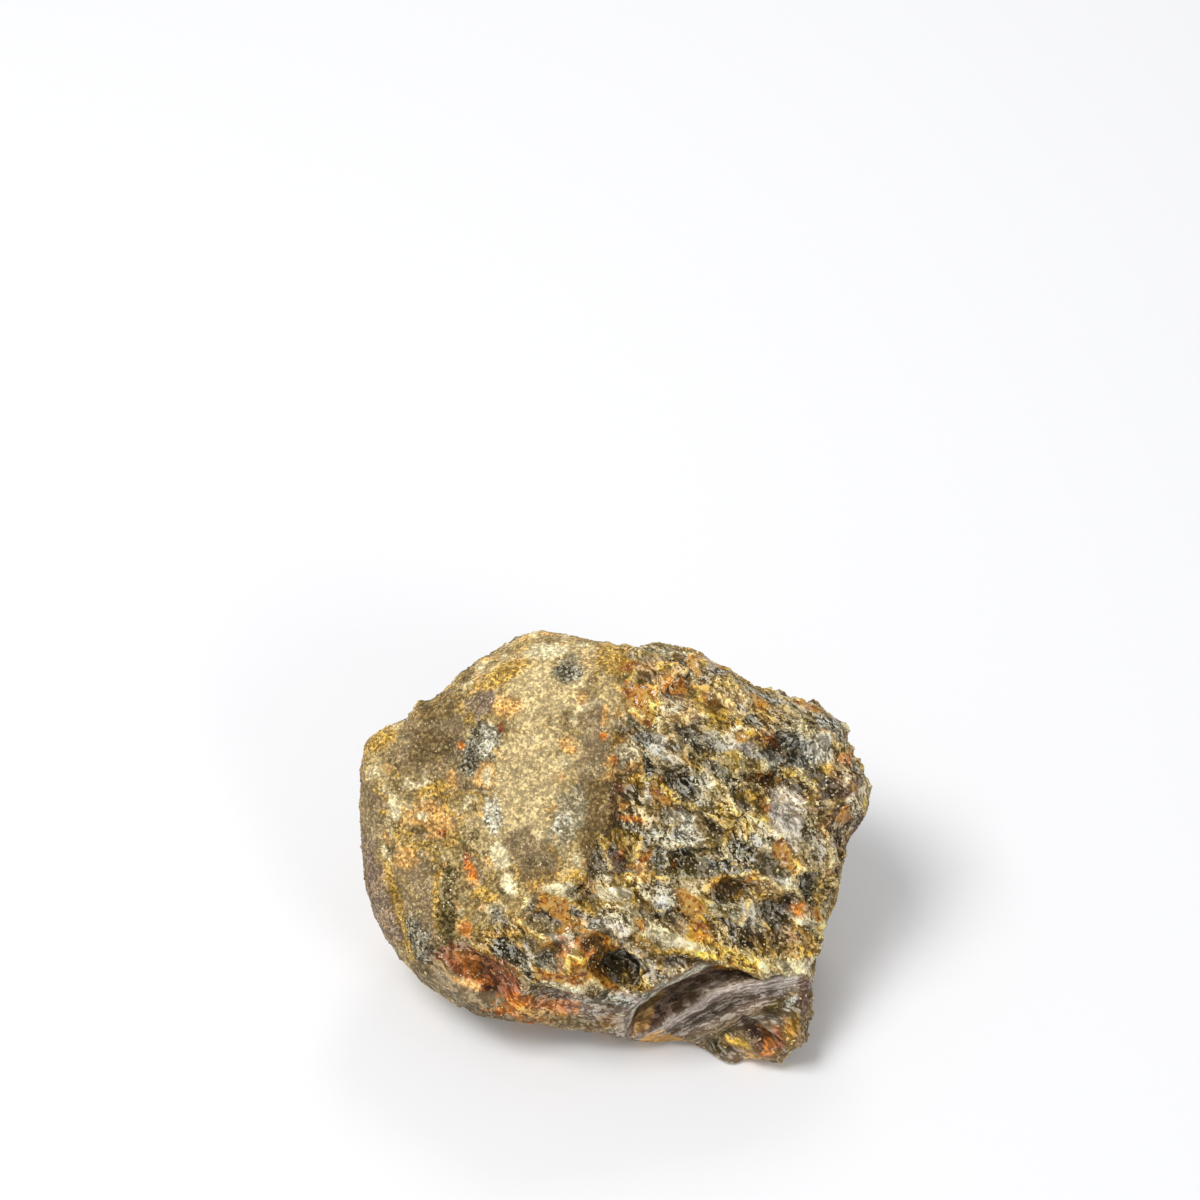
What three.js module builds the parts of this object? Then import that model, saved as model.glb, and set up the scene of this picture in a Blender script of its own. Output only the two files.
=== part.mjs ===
// A piece of raw amber: one rough chunk of dark resin, as it comes out of the ground, about 60 mm long.
// It is a single solid. It lies on a small flat on its underside, with its broad display face tipped back.
// Units are millimetres, +Z is up and the origin is at the middle of the underside.
import * as THREE from "three";
import { ImprovedNoise } from "three/addons/math/ImprovedNoise.js";
import { mergeVertices } from "three/addons/utils/BufferGeometryUtils.js";

// Driving dimensions, in millimetres and degrees.
const HEART_HEIGHT = 13.4; // from the surface it lies on up to its heart, which all below is measured from
const FACE_ELEVATION = 50; // how steeply the display face looks up
const GIRDLE_OUT = 6; // how far in front of the heart, towards the display face, the outline is at its widest
const CROWN_IN_FRONT = 22; // how far the walls would bulge in front of that before they closed
const CROWN_BEHIND = 36; // and how far behind it
const EDGE_HARDNESS = 22; // higher is a crisper edge where two fracture faces meet
const CHIP_SOFTNESS = 1.1; // how wide the rounding is where a chip's edge meets the surface
const WORN_OFF = 0.45; // what the chips take off the outline on average, which is given back to the girdle
const BASE_WORN = 0.9; // how much of the underside is worn flat
const MESH_DETAIL = 19; // each face of the starting icosahedron is split this many times along an edge

// The display face's own frame: across it, up along it and straight out of it.
const lean = THREE.MathUtils.degToRad(FACE_ELEVATION);
const ACROSS = new THREE.Vector3(1, 0, 0);
const UP_FACE = new THREE.Vector3(0, Math.sin(lean), Math.cos(lean));
const OUT_OF_FACE = new THREE.Vector3(0, -Math.cos(lean), Math.sin(lean));

// The girdle: the chunk's outline seen square on to the display face, as [across, up the face].
const GIRDLE = [
  [30.3, 7.5], [29.6, 10.6], [28.0, 12.2], [28.6, 14.4], [27.6, 15.9], [25.6, 16.2],
  [22.6, 18.6], [17.4, 19.8], [14.0, 21.4], [12.0, 21.6], [9.2, 23.6], [5.2, 24.4],
  [2.4, 23.7], [-0.8, 25.1], [-6.6, 25.5], [-10.2, 25.0], [-16.8, 21.2], [-19.0, 19.0],
  [-23.2, 16.8], [-25.2, 15.0], [-28.3, 13.8], [-29.6, 11.2], [-30.1, 7.8], [-28.7, -0.2],
  [-28.6, -6.8], [-25.0, -11.2], [-21.6, -15.4], [-16.8, -17.8], [-10.4, -19.3], [0.4, -21.2],
  [6.2, -22.5], [10.2, -22.9], [13.4, -25.1], [18.0, -25.0], [21.6, -22.8], [23.3, -17.2],
  [23.8, -12.0], [25.6, -4.4], [27.3, 1.2], [29.6, 4.9],
];

// Fracture faces of the display side: a direction in the face's frame, and its distance from the heart.
const DISPLAY_FACETS = [
  { name: "broad sandy face", towards: [0.06, 0.1, 1.0], distance: 15.9 },
  { name: "left slope", towards: [-0.42, 0.04, 1.0], distance: 18.4 },
  { name: "rough right slope", towards: [0.24, -0.08, 1.0], distance: 16.3 },
  { name: "upper brow", towards: [-0.1, 0.95, 1.0], distance: 24.7 },
  { name: "upper right brow", towards: [0.75, 0.7, 1.0], distance: 27.8 },
  { name: "lower front wall", towards: [0.03, -0.83, 0.6], distance: 20.9 },
  { name: "left flank", towards: [-1.0, -0.1, 0.6], distance: 31.0 },
  { name: "lower left corner", towards: [-0.6, -0.8, 0.8], distance: 24.4 },
];

// Fracture faces of the rest of the chunk: the compass bearing and elevation that each looks towards.
const HIDDEN_FACETS = [
  { name: "underside", bearing: 0, elevation: -90, distance: 13.1 },
  { name: "back wall", bearing: 98, elevation: -12, distance: 16.3 },
  { name: "back left", bearing: 140, elevation: -24, distance: 21.6 },
  { name: "back right", bearing: 40, elevation: -18, distance: 22.4 },
  { name: "right heel", bearing: 6, elevation: -40, distance: 22.6 },
  { name: "left heel", bearing: 184, elevation: -44, distance: 22.2 },
  { name: "back heel", bearing: 84, elevation: -42, distance: 14.6 },
];

// Shell-shaped chips on the display side: a ball pressed in at [across, up the face].
const DISPLAY_CHIPS = [
  { name: "hollow under the right brow", at: [20.5, 10.5], radius: 12, depth: 1.3 },
  { name: "hollow beside the sandy face", at: [4.0, 6], radius: 14, depth: 0.9 },
  { name: "right bay", at: [24, -7.5], radius: 9, depth: 1.2 },
  { name: "hollow over the front wall", at: [0.8, -12.8], radius: 4.5, depth: 1.6 },
  { name: "scoop in the front wall", at: [10, -18], radius: 18, depth: 1.0 },
  { name: "red pocket", at: [-14.5, -14.5], radius: 8, depth: 1.0 },
  { name: "left shallow", at: [-21, 11], radius: 20, depth: 0.8 },
];

// The same on the hidden sides, by compass bearing and elevation.
const HIDDEN_CHIPS = [
  { name: "long chip behind", bearing: 108, elevation: 4, radius: 19, depth: 2.4 },
  { name: "chip behind right", bearing: 44, elevation: 8, radius: 15, depth: 2.0 },
  { name: "chip behind left", bearing: 160, elevation: -10, radius: 13, depth: 1.8 },
  { name: "chip in the heel", bearing: 62, elevation: -36, radius: 10, depth: 1.4 },
  { name: "chip in the left heel", bearing: 205, elevation: -40, radius: 9, depth: 1.1 },
];

// Small chips all over, spread evenly by a golden-angle spiral, each of a size and depth of its own.
const SMALL_CHIPS = { count: 64, radius: [5, 12], depth: [0.3, 0.9] };

// A knob left standing at the lower right corner, as [across, up, out] of its middle. It carries the front.
const KNOBS = [{ name: "toe", middle: [17.2, -21.4, 6.2], radius: 5.8 }];

// Lumps left between the fractures: noise of a certain grain, in or out by up to its height.
const LUMPS = [
  { grain: 11, height: 0.9 },
  { grain: 5, height: 0.45 },
];

const noise = new ImprovedNoise();

// A direction given in the face's frame, turned into the part's frame.
function inPartFrame([across, up, out]) {
  return new THREE.Vector3()
    .addScaledVector(ACROSS, across)
    .addScaledVector(UP_FACE, up)
    .addScaledVector(OUT_OF_FACE, out);
}

// A unit vector that looks towards a compass bearing from +X and an elevation above the horizon.
function compass(bearing, elevation) {
  const around = THREE.MathUtils.degToRad(bearing);
  const above = THREE.MathUtils.degToRad(elevation);
  return new THREE.Vector3(
    Math.cos(above) * Math.cos(around),
    Math.cos(above) * Math.sin(around),
    Math.sin(above),
  );
}

// How far the girdle reaches from the heart at each angle: a smooth closed curve through its points.
const GIRDLE_STEPS = 720;
const girdleCurve = new THREE.CatmullRomCurve3(
  GIRDLE.map(([across, up]) => new THREE.Vector3(across, up, 0)),
  true,
  "centripetal",
);
const girdleReaches = girdleCurve
  .getPoints(GIRDLE_STEPS)
  .slice(0, GIRDLE_STEPS)
  .map((point) => ({ angle: Math.atan2(point.y, point.x), reach: Math.hypot(point.x, point.y) }))
  .sort((a, b) => a.angle - b.angle);

function girdleReach(angle) {
  const after = girdleReaches.findIndex((sample) => sample.angle > angle);
  const next = girdleReaches[Math.max(after, 0)];
  const before = girdleReaches.at(after > 0 ? after - 1 : -1);
  const turn = 2 * Math.PI;
  const span = (next.angle - before.angle + turn) % turn;
  const share = span > 0 ? ((angle - before.angle + turn) % turn) / span : 0;
  return THREE.MathUtils.lerp(before.reach, next.reach, share) + WORN_OFF;
}

const facets = [
  ...DISPLAY_FACETS.map(({ towards, distance }) => ({ normal: inPartFrame(towards).normalize(), distance })),
  ...HIDDEN_FACETS.map(({ bearing, elevation, distance }) => {
    return { normal: compass(bearing, elevation), distance };
  }),
];

// The distance from the heart to the girdle's crowned wall in a direction: a ray meets an oval whose middle
// is GIRDLE_OUT in front of the heart.
function wallReach(direction) {
  const across = direction.dot(ACROSS);
  const up = direction.dot(UP_FACE);
  const out = direction.dot(OUT_OF_FACE);
  const sideways = Math.hypot(across, up) / girdleReach(Math.atan2(up, across));
  const meetsOval = (crown) => {
    const squared = sideways ** 2 + (out / crown) ** 2;
    const linear = (out * GIRDLE_OUT) / crown ** 2;
    const constant = (GIRDLE_OUT / crown) ** 2 - 1;
    return (linear + Math.sqrt(linear ** 2 - squared * constant)) / squared;
  };
  const inFront = meetsOval(CROWN_IN_FRONT);
  return inFront * out > GIRDLE_OUT ? inFront : meetsOval(CROWN_BEHIND);
}

// The nearest of the crowned wall and the fracture faces, with their edges softened.
function bodyReach(direction) {
  let nearness = wallReach(direction) ** -EDGE_HARDNESS;
  for (const { normal, distance } of facets) {
    const facing = normal.dot(direction);
    if (facing > 0) nearness += (facing / distance) ** EDGE_HARDNESS;
  }
  return nearness ** (-1 / EDGE_HARDNESS);
}

// The surface point in a direction, and the normal there, from two directions a little to each side.
const SIDE_STEP = 0.03;
function surfaceTowards(direction) {
  const point = direction.clone().multiplyScalar(bodyReach(direction));
  const sideways = new THREE.Vector3(direction.y, -direction.x, 0.001).cross(direction).normalize();
  const edges = [sideways, sideways.clone().cross(direction)].map((side) => {
    const near = direction.clone().addScaledVector(side, SIDE_STEP).normalize();
    return near.multiplyScalar(bodyReach(near)).sub(point);
  });
  const normal = edges[0].cross(edges[1]).normalize();
  if (normal.dot(direction) < 0) normal.negate();
  return { point, normal };
}

// The direction from the heart to the point of the display face that lies at [across, up].
const AIM_STEPS = 8;
function towardsFacePoint(across, up) {
  const wanted = Math.hypot(across, up);
  let out = DISPLAY_FACETS[0].distance;
  let direction;
  for (let step = 0; step < AIM_STEPS; step++) {
    direction = inPartFrame([across, up, out]).normalize();
    out *= bodyReach(direction) / Math.hypot(wanted, out);
  }
  return direction;
}

// A chip's ball touches the surface where it is aimed and is sunk by its depth.
function chipBall({ radius, depth }, direction) {
  const { point, normal } = surfaceTowards(direction);
  return { centre: point.addScaledVector(normal, radius - depth), radius };
}

// A repeatable scatter of numbers from 0 to 1.
function scatter(seed) {
  const value = Math.sin(seed * 12.9898) * 43758.5453;
  return value - Math.floor(value);
}

// Small chip number i of the spiral: from the bottom of the chunk to its top, turning by the golden angle.
const GOLDEN_ANGLE = Math.PI * (3 - Math.sqrt(5));
function smallChip(i) {
  const { count, radius, depth } = SMALL_CHIPS;
  const height = -1 + (2 * (i + 0.5)) / count;
  const flat = Math.sqrt(1 - height * height);
  const turned = i * GOLDEN_ANGLE;
  const direction = new THREE.Vector3(flat * Math.cos(turned), flat * Math.sin(turned), height);
  const chip = {
    radius: THREE.MathUtils.lerp(...radius, scatter(i + 1)),
    depth: THREE.MathUtils.lerp(...depth, scatter(i + 1 + count)),
  };
  return chipBall(chip, direction);
}

const chips = [
  ...DISPLAY_CHIPS.map((chip) => chipBall(chip, towardsFacePoint(...chip.at))),
  ...HIDDEN_CHIPS.map((chip) => chipBall(chip, compass(chip.bearing, chip.elevation))),
  ...Array.from({ length: SMALL_CHIPS.count }, (_, i) => smallChip(i)),
];

const knobs = KNOBS.map(({ middle, radius }) => ({ centre: inPartFrame(middle), radius }));

// The lesser of two distances, rounded off where they are nearly the same.
function softLesser(a, b) {
  const overlap = Math.max(0, CHIP_SOFTNESS - Math.abs(a - b));
  return Math.min(a, b) - (overlap * overlap) / (4 * CHIP_SOFTNESS);
}

// The same distance once the knobs are on and the chips are out: a knob's ball reaches as far as its far
// side, and a ray stops where it first meets a chip's ball.
function chippedReach(direction) {
  let reach = bodyReach(direction);
  const meets = ({ centre, radius }) => {
    const along = direction.dot(centre);
    const half = Math.sqrt(Math.max(0, radius * radius - centre.lengthSq() + along * along));
    return half > 0 && along > 0 ? { near: along - half, far: along + half } : null;
  };
  for (const knob of knobs) reach = Math.max(reach, meets(knob)?.far ?? 0);
  for (const chip of chips) reach = softLesser(reach, meets(chip)?.near ?? Infinity);
  return reach;
}

function lump(point) {
  return LUMPS.reduce(
    (sum, { grain, height }) => sum + height * noise.noise(point.x / grain, point.y / grain, point.z / grain),
    0,
  );
}

// Each corner above the underside moves part of the way towards the middle of its neighbours.
const SOFTEN_SHARE = 0.5;
function soften(geometry) {
  const corners = geometry.getAttribute("position");
  const triangles = geometry.getIndex().array;
  const sums = Array.from({ length: corners.count }, () => ({ total: new THREE.Vector3(), count: 0 }));
  const corner = new THREE.Vector3();
  for (let i = 0; i < triangles.length; i += 3) {
    for (let side = 0; side < 3; side++) {
      const sum = sums[triangles[i + side]];
      sum.total.add(corner.fromBufferAttribute(corners, triangles[i + ((side + 1) % 3)]));
      sum.count += 1;
    }
  }
  sums.forEach(({ total, count }, i) => {
    corner.fromBufferAttribute(corners, i);
    if (corner.z === 0) return;
    corner.lerp(total.divideScalar(count), SOFTEN_SHARE);
    corners.setXYZ(i, corner.x, corner.y, corner.z);
  });
}

// The chunk: an even ball of triangles, each corner pushed out from the heart to the chunk's surface.
function chunkGeometry() {
  const ball = new THREE.IcosahedronGeometry(1, MESH_DETAIL);
  ball.deleteAttribute("normal");
  ball.deleteAttribute("uv");
  const geometry = mergeVertices(ball);
  const corners = geometry.getAttribute("position");
  const direction = new THREE.Vector3();
  for (let i = 0; i < corners.count; i++) {
    direction.fromBufferAttribute(corners, i).normalize();
    const point = direction.clone().multiplyScalar(chippedReach(direction));
    point.addScaledVector(direction, lump(point));
    const height = Math.max(0, point.z + HEART_HEIGHT - BASE_WORN);
    corners.setXYZ(i, point.x, point.y, height);
  }
  soften(geometry);
  geometry.computeBoundingBox();
  const middle = geometry.boundingBox.getCenter(new THREE.Vector3());
  geometry.translate(-middle.x, -middle.y, -geometry.boundingBox.min.z);
  geometry.computeVertexNormals();
  return geometry;
}

const resin = new THREE.MeshStandardMaterial({ color: 0x6e5a36, roughness: 0.5, metalness: 0 });
const chunk = new THREE.Mesh(chunkGeometry(), resin);
chunk.name = "raw_amber";

const part = new THREE.Group();
part.add(chunk);
export default part;
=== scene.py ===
# A piece of raw amber: one rough chunk of dark fossil resin, about 60 mm long, lying on a pale table.
import math

import bmesh
import bpy
import numpy as np
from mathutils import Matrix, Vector, noise


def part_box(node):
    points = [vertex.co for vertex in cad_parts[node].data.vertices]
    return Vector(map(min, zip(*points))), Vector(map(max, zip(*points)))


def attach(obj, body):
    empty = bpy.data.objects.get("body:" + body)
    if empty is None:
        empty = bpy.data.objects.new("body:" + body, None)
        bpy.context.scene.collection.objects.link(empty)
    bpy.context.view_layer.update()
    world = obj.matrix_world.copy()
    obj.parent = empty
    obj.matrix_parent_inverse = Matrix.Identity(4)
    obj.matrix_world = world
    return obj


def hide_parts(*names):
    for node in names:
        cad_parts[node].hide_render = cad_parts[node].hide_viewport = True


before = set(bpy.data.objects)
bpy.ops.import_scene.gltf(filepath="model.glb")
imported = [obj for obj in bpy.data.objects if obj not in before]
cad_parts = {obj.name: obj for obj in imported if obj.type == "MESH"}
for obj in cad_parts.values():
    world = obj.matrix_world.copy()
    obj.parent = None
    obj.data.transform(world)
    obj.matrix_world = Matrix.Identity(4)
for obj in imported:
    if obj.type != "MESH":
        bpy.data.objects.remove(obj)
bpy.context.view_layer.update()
scene = bpy.context.scene

# The view of the chunk. Its display face looks up and forwards at FACE_ELEVATION, and the camera looks down
# at it from the front. Places on the face are (across, up), in millimetres from the middle of the outline.
MM = 0.001
FACE_ELEVATION = math.radians(50)
ACROSS = Vector((1, 0, 0))
UP_FACE = Vector((0, math.sin(FACE_ELEVATION), math.cos(FACE_ELEVATION)))
OUT_OF_FACE = Vector((0, -math.cos(FACE_ELEVATION), math.sin(FACE_ELEVATION)))

box_low, box_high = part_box("raw_amber")
box_size = box_high - box_low
OUTLINE_MIDDLE_SHARE = Vector((0.495, 0.4445, 0.4705))  # of the box, from its lowest corner
face_middle = box_low + box_size * OUTLINE_MIDDLE_SHARE

LENS = 85
SENSOR = 36
CAMERA_PITCH = math.radians(45)
FRAME_WIDTH = 2.342  # the picture's width at the chunk, in lengths of the chunk
CHUNK_RIGHT_OF_MIDDLE = 0.010  # in widths of the picture
CHUNK_BELOW_MIDDLE = 0.2125

picture_width = FRAME_WIDTH * box_size.x
eye_distance = picture_width * LENS / SENSOR
looking = Vector((0, math.cos(CAMERA_PITCH), -math.sin(CAMERA_PITCH)))
picture_up = Vector((0, math.sin(CAMERA_PITCH), math.cos(CAMERA_PITCH)))
camera_data = bpy.data.cameras.new("camera")
camera_data.lens = LENS
camera_data.sensor_width = SENSOR
camera_data.clip_start = 0.01
camera = bpy.data.objects.new("camera", camera_data)
camera.location = (
    face_middle
    - looking * eye_distance
    - ACROSS * picture_width * CHUNK_RIGHT_OF_MIDDLE
    + picture_up * picture_width * CHUNK_BELOW_MIDDLE
)
camera.rotation_euler = looking.to_track_quat("-Z", "Y").to_euler()
scene.collection.objects.link(camera)
scene.camera = camera

# The table and the light. The table is a near-white sheet that fills the view, under a pale sky, with one
# large soft light up on the left, a weaker one in front on the right, and one behind that catches the rims.
TABLE_REACH = 3.0


def add_node(tree, kind, inputs=None, **settings):
    made = tree.nodes.new(kind)
    for name, value in settings.items():
        setattr(made, name, value)
    for name, value in (inputs or {}).items():
        if isinstance(value, bpy.types.NodeSocket):
            tree.links.new(value, made.inputs[name])
        else:
            made.inputs[name].default_value = value
    return made


def new_material(name):
    """A material with a bare Principled BSDF, and its node tree and shader."""
    material = bpy.data.materials.new(name)
    material.use_nodes = True
    tree = material.node_tree
    return material, tree, tree.nodes["Principled BSDF"]


table_form = bmesh.new()
bmesh.ops.create_grid(table_form, x_segments=2, y_segments=2, size=TABLE_REACH)
table_mesh = bpy.data.meshes.new("table")
table_form.to_mesh(table_mesh)
table_form.free()
table = bpy.data.objects.new("table", table_mesh)
scene.collection.objects.link(table)
table_paint, table_tree, table_shader = new_material("table_white")
table_shader.inputs["Base Color"].default_value = (0.83, 0.83, 0.84, 1)
table_shader.inputs["Roughness"].default_value = 0.6
table_mesh.materials.append(table_paint)

world = bpy.data.worlds.new("pale_room")
world.use_nodes = True
world.node_tree.nodes["Background"].inputs["Color"].default_value = (0.97, 0.98, 1.0, 1)
world.node_tree.nodes["Background"].inputs["Strength"].default_value = 0.44
scene.world = world


def soft_light(name, place, size, power):
    light = bpy.data.lights.new(name, "AREA")
    light.size = size
    light.energy = power
    made = bpy.data.objects.new(name, light)
    made.location = place
    made.rotation_euler = (face_middle - Vector(place)).to_track_quat("-Z", "Y").to_euler()
    scene.collection.objects.link(made)


soft_light("key_light", (-0.40, -0.10, 0.82), 0.42, 6.0)
soft_light("fill_light", (0.50, -0.62, 0.50), 0.30, 1.5)
soft_light("back_light", (0.10, 0.70, 0.60), 0.22, 1.3)
scene.view_settings.view_transform = "Standard"

# The chunk of resin. One natural lump: a sandy crust on the left of the display face, glossy shell-shaped
# chips on the right, and long flutes on the front wall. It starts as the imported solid, made finer.
chunk_form = bmesh.new()
chunk_form.from_mesh(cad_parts["raw_amber"].data)
bmesh.ops.remove_doubles(chunk_form, verts=chunk_form.verts, dist=1e-6)
coarse_mesh = bpy.data.meshes.new("amber_chunk_coarse")
chunk_form.to_mesh(coarse_mesh)
chunk_form.free()
chunk = bpy.data.objects.new("amber_chunk", coarse_mesh)
scene.collection.objects.link(chunk)
rounding = chunk.modifiers.new("rounding", "SUBSURF")
rounding.levels = rounding.render_levels = 2
bpy.context.view_layer.update()
chunk_mesh = bpy.data.meshes.new_from_object(chunk.evaluated_get(bpy.context.evaluated_depsgraph_get()))
chunk_mesh.name = "amber_chunk"
chunk.modifiers.clear()
chunk.data = chunk_mesh
bpy.data.meshes.remove(coarse_mesh)

point_count = len(chunk_mesh.vertices)


def points_of(mesh):
    """The mesh's points, in millimetres."""
    flat = np.empty(len(mesh.vertices) * 3, np.float32)
    mesh.vertices.foreach_get("co", flat)
    return flat.reshape(-1, 3).astype(float) / MM


def normals_of(mesh):
    flat = np.empty(len(mesh.vertices) * 3, np.float32)
    mesh.vertex_normals.foreach_get("vector", flat)
    return flat.reshape(-1, 3).astype(float)


def move_points(mesh, points):
    mesh.vertices.foreach_set("co", (points * MM).astype(np.float32).ravel())
    mesh.update()


def ease(low, high, value):
    """0 below low and 1 above high, with a smooth step between, either way round."""
    share = np.clip((value - low) / (high - low), 0, 1)
    return share * share * (3 - 2 * share)


def noise_over(points, size, seed):
    """Smooth noise from about -1 to 1, with lumps of that size."""
    shift = Vector((seed * 17.3, seed * -9.1, seed * 5.7))
    return np.array([noise.noise(Vector(point) / size + shift) for point in points])


def face_places(points):
    """Where each point shows on the display face, seen from the camera's distance: across, up and out."""
    from_middle = points - np.array(face_middle) / MM
    out = from_middle @ np.array(OUT_OF_FACE)
    nearer = eye_distance / MM / (eye_distance / MM - out)
    return from_middle @ np.array(ACROSS) * nearer, from_middle @ np.array(UP_FACE) * nearer, out


points = points_of(chunk_mesh)
normals = normals_of(chunk_mesh)
across, up, out = face_places(points)
facing = normals @ np.array(OUT_OF_FACE)
seen = ease(0.0, 0.25, facing)
off_table = ease(0.05, 2.2, points[:, 2])

# The flutes, ledge, pits and pockets are old breaks, cut into the lump before the fine chips. Each ridge of
# the front wall is a sharp line that runs out of one focus, and the wall is hollow between two ridges.
FLUTE_RIDGES = [
    [(1.2, -20.6), (1.9, -19.2), (3.4, -17.2), (5.9, -15.4), (9.0, -13.6), (12.0, -12.1), (24.0, -11.0)],
    [(1.2, -21.6), (3.4, -21.1), (5.6, -20.0), (8.4, -18.2), (11.7, -16.2), (14.5, -15.1), (24.0, -13.2)],
    [(1.2, -22.2), (5.9, -22.0), (8.5, -21.2), (11.2, -20.1), (13.4, -19.3), (17.0, -17.6), (24.0, -15.6)],
    [(1.2, -23.4), (8.0, -23.6), (12.0, -22.2), (15.0, -20.6), (18.0, -19.9), (21.0, -20.5), (24.0, -21.5)],
]
FLUTE_DEPTHS = [(0.42, 1.9), (0.26, 1.0), (0.16, 0.6)]  # a share of the width between ridges, and the most
RIBS_IN_A_FLUTE = 6


def cut_flutes(across, up):
    """How deep the flutes are, and where each point lies between ridges: 1.5 is half way from 1 to 2."""
    depth = np.zeros_like(across)
    between = np.full_like(across, -1.0)
    lines = [np.interp(across, *np.array(ridge).T) for ridge in FLUTE_RIDGES]
    for number, (upper, lower, (share, most)) in enumerate(zip(lines, lines[1:], FLUTE_DEPTHS)):
        width = upper - lower
        inside = (up <= upper) & (up > lower)
        place = np.clip((upper - up) / width, 0, 1)
        hollow = np.minimum(width * share, most) * np.sin(np.pi * place**1.7)
        ribs = 0.07 * np.minimum(width, 2) * np.abs(np.sin(np.pi * place * RIBS_IN_A_FLUTE))
        depth += inside * (hollow + ribs)
        between = np.where(inside, number + place, between)
    return depth * ease(1.2, 3.2, across) * ease(23.5, 18.0, across), between


LEDGE = [
    (-12, -16), (-9, -15.5), (0, -16), (3.5, -16.6), (6, -14.9), (10.5, -12.6), (14, -13.4), (24, -14.2)
]
ledge_line = np.interp(across, *np.array(LEDGE).T)
below_ledge = ease(0.5, -0.5, up - ledge_line)
front_wall = below_ledge * ease(-11.0, -8.5, across) * seen

# Single hollows and bosses: place, half length, half width, turn from across in degrees, and depth, which is
# less than 0 where it stands out.
HOLLOWS = {
    "black pit": [(0.5, -13.5), 3.0, 2.6, 0, 3.2],
    "glassy pocket": [(14.2, -4.0), 3.0, 1.6, 10, 1.3],
    "pocket's lip": [(15.6, -2.2), 3.2, 0.6, 15, -0.5],
    "right hollow": [(19.5, -6.5), 2.6, 2.4, 0, 1.1],
    "dark notch": [(-1.8, -10.2), 2.0, 1.3, 20, 1.2],
    "amber block": [(-4.2, -12.6), 2.6, 2.0, 80, -0.5],
    "block's slot": [(-7.4, -11.6), 2.6, 0.9, 40, 0.9],
    "left chip": [(-12.2, -11.4), 2.2, 1.4, -20, 0.8],
    "red break": [(-14.6, -14.4), 5.6, 2.4, -36, 1.2],
    "blue spot": [(-15.4, 13.0), 2.8, 2.0, 65, 0.6],
    "brown shallow": [(-21.5, 13.2), 5.0, 3.5, 10, 0.7],
    "crest valley": [(1.3, 5.5), 9.0, 2.0, 94, 0.6],
    "brow hollow": [(4.2, 21.0), 2.0, 1.4, 0, 0.7],
    "white shelf": [(7.5, 11.4), 4.0, 0.9, -25, -0.6],
    "under the shelf": [(7.8, 8.6), 2.8, 1.3, -35, 0.9],
    "blue hollow": [(21.5, 12.2), 4.0, 2.2, -10, 1.1],
    "yellow gully": [(12.2, 17.2), 3.4, 1.0, -62, 0.8],
    "brown gully": [(17.2, 8.9), 3.2, 0.9, -5, 0.9],
    "right knuckle": [(27.5, 8.0), 2.4, 3.0, 0, -0.5],
    "lilac slip": [(20.9, 3.8), 3.4, 1.0, 95, 0.4],
    "cream ledge": [(6.0, -8.8), 5.0, 1.3, -22, -0.6],
    "under the ledge": [(8.0, -12.3), 4.5, 0.8, -3, 0.8],
    "orange pocket": [(22.0, -7.2), 1.8, 1.8, 0, -0.4],
    "toe lens": [(14.4, -21.7), 2.4, 0.8, -8, -0.5],
    "toe gully": [(17.0, -20.6), 4.0, 0.9, -35, 0.7],
    "toe notch": [(10.8, -23.6), 2.0, 1.0, -25, 0.7],
    "toe knob": [(18.2, -23.4), 3.4, 2.0, -8, -1.6],
    "toe tip": [(13.4, -24.2), 1.6, 1.4, 0, -0.7],
    "left step": [(-25.6, -3.0), 9.0, 0.8, 100, 0.45],
}


def oval_reach(across, up, place, half_length, half_width, turn):
    """0 in the middle of an oval on the face, and 1 on its rim."""
    x, y = across - place[0], up - place[1]
    cosine, sine = math.cos(math.radians(turn)), math.sin(math.radians(turn))
    return np.hypot((x * cosine + y * sine) / half_length, (y * cosine - x * sine) / half_width)


wander = noise_over(points, 3.2, 1)
ripple = noise_over(points, 1.1, 2)
fluted, between_ridges = cut_flutes(across + 0.25 * wander, up + 0.18 * ripple)
sunk = fluted * front_wall
sunk += 0.45 * front_wall * ease(-6, -1, up - ledge_line)
calm = np.zeros(point_count)
for place, half_length, half_width, turn, depth in HOLLOWS.values():
    reach = oval_reach(across, up, place, half_length, half_width, turn) + 0.16 * wander + 0.10 * ripple
    sunk += depth * ease(1.25, 0.15, reach) * (seen if depth > 0 else ease(-0.7, -0.3, facing))
    calm = np.maximum(calm, ease(1.3, 0.7, reach) * seen)
points -= normals * (sunk * off_table)[:, None]
points[:, 2] = np.maximum(points[:, 2], 0)
move_points(chunk_mesh, points)

# The chips are shell-shaped scallops with sharp rims. They are large and bold on the chipped resin, drawn
# out from upper left to lower right, and faint under the sandy crust.
CREST_LINE = [(-12.0, -26), (-9.0, -14), (-7.0, -6), (-1.5, 0), (0.2, 5), (0.6, 12), (0.8, 20), (1.2, 26)]
CRUST_FOOT = [(-30, -17.5), (-25, -15.0), (-21, -11.0), (-17, -8.5), (-13, -7.0), (-8, -5.2), (0, -4.0)]


def crust_amount(points, across, up, seen, wander):
    """1 where the sandy crust covers the resin, 0 on bare chipped resin."""
    crest_across, crest_up = np.array(CREST_LINE).T
    left_of_crest = ease(0.9, -0.9, across - np.interp(up, crest_up, crest_across) + 2.2 * wander)
    above_foot = ease(-1.6, 1.6, up - np.interp(across, *np.array(CRUST_FOOT).T) + 1.6 * wander)
    shown = left_of_crest * above_foot
    hidden = ease(-0.02, 0.14, noise_over(points, 15.0, 3) + 0.35 * noise_over(points, 5.0, 4))
    return shown * seen + hidden * (1 - seen)


crust = crust_amount(points, across, up, seen, wander)


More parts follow.
